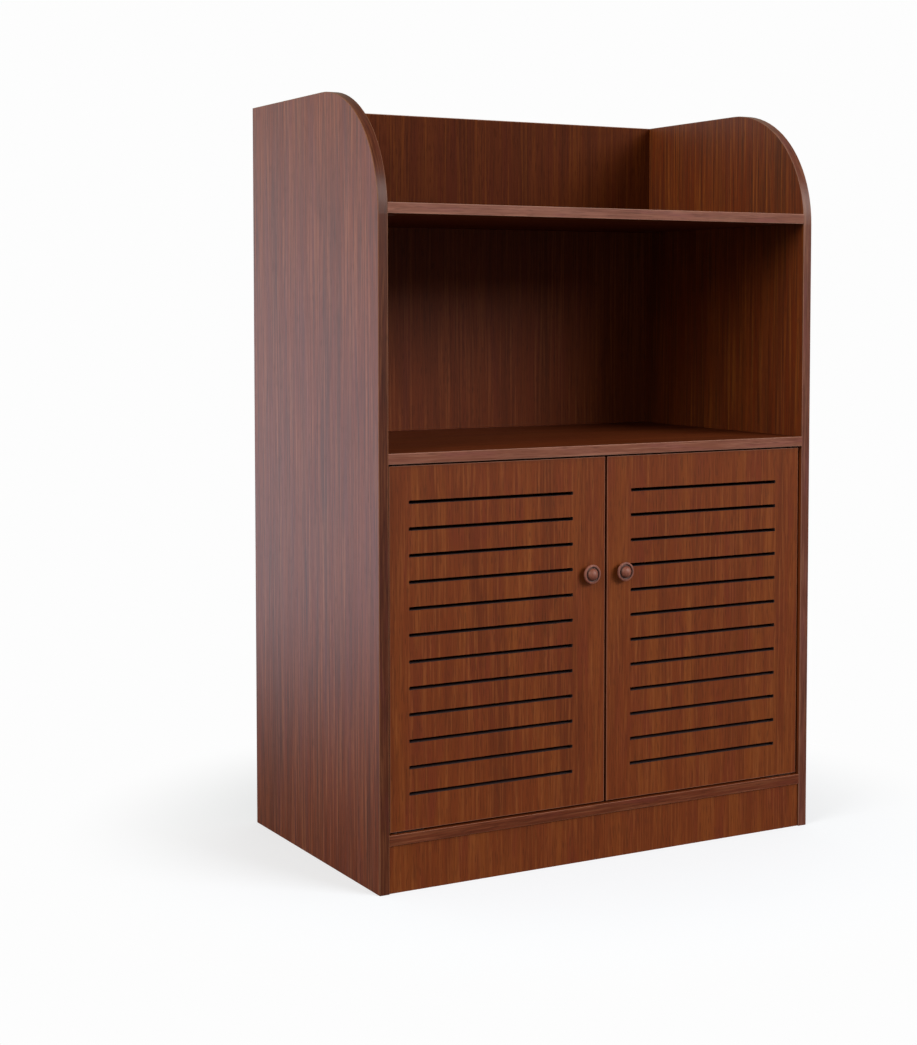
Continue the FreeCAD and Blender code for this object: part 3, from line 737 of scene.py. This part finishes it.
@dataclass
class Studio:
    """White surroundings, a pale floor that keeps the shadow, and soft lamps.

    What shines on the stand is a room with bright walls behind it, a dimmer ceiling, and a darker
    side where the camera stands.
    """

    white: str = "#fdfdfd"         # what the eye sees all round
    floor_reach: float = 12.0
    floor_paint: str = "#7a7c80"   # for the light that the floor throws back
    seen_paint: str = "#a9b1bc"    # for the eye, cool against the warm lamps
    floor_lift: float = 0.58       # what the lit floor is short of white
    near_floor: float = 0.33       # to the eye the floor turns plain white between these two radii
    far_floor: float = 0.62
    near_shine: float = 0.3        # and to a reflection it turns into the room between these two
    far_shine: float = 2.3
    room_light: float = 0.5
    wall_tint: str = "#e9edff"     # cool walls and a warm ceiling, for what they light and what shines
    ceiling_tint: str = "#efe9d6"
    wall_shine: float = 1.28
    ceiling_share: float = 0.35    # how bright the ceiling shines against the walls
    ceiling_reach: Size2 = (-0.06, 0.26)   # heights between which walls turn into ceiling, of 1
    front_share: float = 0.30      # and how bright the camera's side does
    front_reach: Size2 = (-0.4, 0.3)       # and the depths between which it turns into the rest
    lamps: tuple[SoftBox, ...] = (
        SoftBox("key", (2.03, -3.54, 2.2), (0.0, -0.1, 0.45), (2.4, 1.5), 150.0, "#fffaf6"),
        SoftBox("side_fill", (-2.3, -0.9, 1.8), (-0.3, 0.0, 0.6), (1.4, 1.4), 37.0, "#fff4ea"),
    )

    def shines(self, path: Node, tree: Tree) -> Node:
        """Give 1 for what a reflection or clear stuff shows, else 0."""
        return add_node(tree, "Math", {"operation": "MAXIMUM"}, {
            0: path.outputs["Is Glossy Ray"], 1: path.outputs["Is Transmission Ray"]})

    def shine(self, tree: Tree, heading: object) -> tuple[Node, Node]:
        """Work out what the room shines from one direction.

        Args:
            tree: the tree of the world or the floor.
            heading: the direction's node or output, of length 1.

        Returns:
            The nodes of the light's colour and its strength.
        """
        parts = add_node(tree, "SeparateXYZ", inputs={0: heading})
        ceiling = add_node(tree, "MapRange", {"interpolation_type": "SMOOTHSTEP"}, {
            "Value": parts.outputs["Z"], "From Min": self.ceiling_reach[0],
            "From Max": self.ceiling_reach[1]})
        front = add_node(tree, "MapRange", {"interpolation_type": "SMOOTHSTEP"}, {
            "Value": parts.outputs["Y"], "From Min": self.front_reach[0],
            "From Max": self.front_reach[1], "To Min": self.front_share})
        bright = add_node(tree, "MapRange", inputs={
            "Value": ceiling, "To Min": self.wall_shine, "To Max": self.wall_shine * self.ceiling_share})
        colour = add_node(tree, "Mix", COLOURS, {
            "Factor": ceiling, "A": self.wall_tint, "B": self.ceiling_tint})
        return colour, add_node(tree, "Math", {"operation": "MULTIPLY"}, {0: bright, 1: front})

    def build_world(self) -> None:
        """Make the surroundings white to look at, cool in reflections and dimmer as a light."""
        world = bpy.data.worlds.new("surroundings")
        world.use_nodes = True
        bpy.context.scene.world = world
        tree = world.node_tree
        tree.nodes.clear()
        path = add_node(tree, "LightPath")
        by_eye = path.outputs["Is Camera Ray"]
        tint, shine = self.shine(tree, add_node(tree, "TexCoord").outputs["Generated"])
        unseen = add_node(tree, "Mix", NUMBERS, {
            "Factor": self.shines(path, tree), "A": self.room_light, "B": shine})
        strength = add_node(tree, "Mix", NUMBERS, {"Factor": by_eye, "A": unseen, "B": 1.0})
        colour = add_node(tree, "Mix", COLOURS, {"Factor": by_eye, "A": tint, "B": self.white})
        light = add_node(tree, "Background", inputs={"Color": colour, "Strength": strength})
        add_node(tree, "OutputWorld", inputs={"Surface": light})

    def floor_material(self) -> bpy.types.Material:
        """Make the painted floor, which fades to plain white a little way from the stand.

        Near the stand a reflection shows the paint as the lamps light it, and the eye sees a paler
        paint, lifted to white where nothing shades it.

        Returns:
            The floor's material.
        """
        material = bpy.data.materials.new("painted_floor")
        material.use_nodes = True
        tree = material.node_tree
        tree.nodes.clear()
        path = add_node(tree, "LightPath")
        by_eye = path.outputs["Is Camera Ray"]
        paint = add_node(tree, "BsdfDiffuse", inputs={"Color": add_node(tree, "Mix", COLOURS, {
            "Factor": by_eye, "A": self.floor_paint, "B": self.seen_paint})})
        point = add_node(tree, "TexCoord").outputs["Object"]
        radius = add_node(tree, "VectorMath", {"operation": "LENGTH"}, {0: point}).outputs["Value"]
        tint, shine = self.shine(tree, add_node(
            tree, "VectorMath", {"operation": "NORMALIZE"}, {0: point}))
        seen_far = add_node(tree, "MapRange", {"interpolation_type": "SMOOTHSTEP"}, {
            "Value": radius, "From Min": self.near_floor, "From Max": self.far_floor})
        shone_far = add_node(tree, "MapRange", {"interpolation_type": "SMOOTHSTEP"}, {
            "Value": radius, "From Min": self.near_shine, "From Max": self.far_shine})
        lift = add_node(tree, "Emission", inputs={"Color": "#ffffff", "Strength": add_node(
            tree, "Math", {"operation": "MULTIPLY"}, {0: by_eye, 1: self.floor_lift})})
        near_look = add_node(tree, "AddShader", inputs={0: paint, 1: lift})
        far_look = add_node(tree, "Emission", inputs={
            "Color": add_node(tree, "Mix", COLOURS, {"Factor": by_eye, "A": tint, "B": self.white}),
            "Strength": add_node(tree, "Mix", NUMBERS, {"Factor": by_eye, "A": shine, "B": 1.0})})
        shone = add_node(tree, "Math", {"operation": "MULTIPLY"}, {
            0: self.shines(path, tree), 1: shone_far})
        share = add_node(tree, "Mix", NUMBERS, {"Factor": by_eye, "A": shone, "B": seen_far})
        look = add_node(tree, "MixShader", inputs={0: share, 1: near_look, 2: far_look})
        add_node(tree, "OutputMaterial", inputs={"Surface": look})
        return material

    def build_floor(self) -> None:
        """Lay the floor under the stand."""
        reach = self.floor_reach
        mesh = bpy.data.meshes.new("floor")
        mesh.from_pydata([(-reach, -reach, 0), (reach, -reach, 0), (reach, reach, 0), (-reach, reach, 0)],
                         [], [(0, 1, 2, 3)])
        floor = bpy.data.objects.new("floor", mesh)
        bpy.context.scene.collection.objects.link(floor)
        mesh.materials.append(self.floor_material())

    def build(self) -> None:
        """Build the surroundings, the floor and the lamps."""
        self.build_world()
        self.build_floor()
        for lamp in self.lamps:
            lamp.build()
        LOG.info("studio: floor and %d lamps", len(self.lamps))


@dataclass(frozen=True)
class PhotoCamera:
    """The camera that took the view: place in metres, angles in degrees, shift in photo pixels."""

    place: Vector3 = (-1.229, -2.0465, 0.655)
    turn: float = 29.34        # to the right of straight at the doors
    tilt: float = 3.2          # downwards
    lens: float = 65.89        # in mm, as is the sensor
    sensor: float = 36.0
    shift: tuple[float, float] = (20.0, -110.0)

    def build(self) -> None:
        """Add the camera and make it the scene's own."""
        camera = bpy.data.cameras.new("camera")
        camera.sensor_width = self.sensor
        camera.lens = self.lens
        camera.shift_x = -self.shift[0] / PHOTO_LONG_SIDE
        camera.shift_y = self.shift[1] / PHOTO_LONG_SIDE
        holder = bpy.data.objects.new("camera", camera)
        bpy.context.scene.collection.objects.link(holder)
        holder.location = self.place
        holder.rotation_euler = (math.radians(90.0 - self.tilt), 0.0, -math.radians(self.turn))
        bpy.context.scene.camera = holder
        LOG.info("camera: %.0f mm lens", self.lens)


def main() -> None:
    """Build the studio and the camera, and dress every piece in order."""
    logging.basicConfig(level=logging.INFO, format="%(message)s")
    bpy.context.scene.view_settings.view_transform = "Standard"
    Studio().build()
    PhotoCamera().build()
    Carcass().build()
    for side, seed in zip(SIDES, DOOR_SEEDS):
        Door(side, seed).build()
    Fittings().build()


if __name__ == "__main__":
    main()
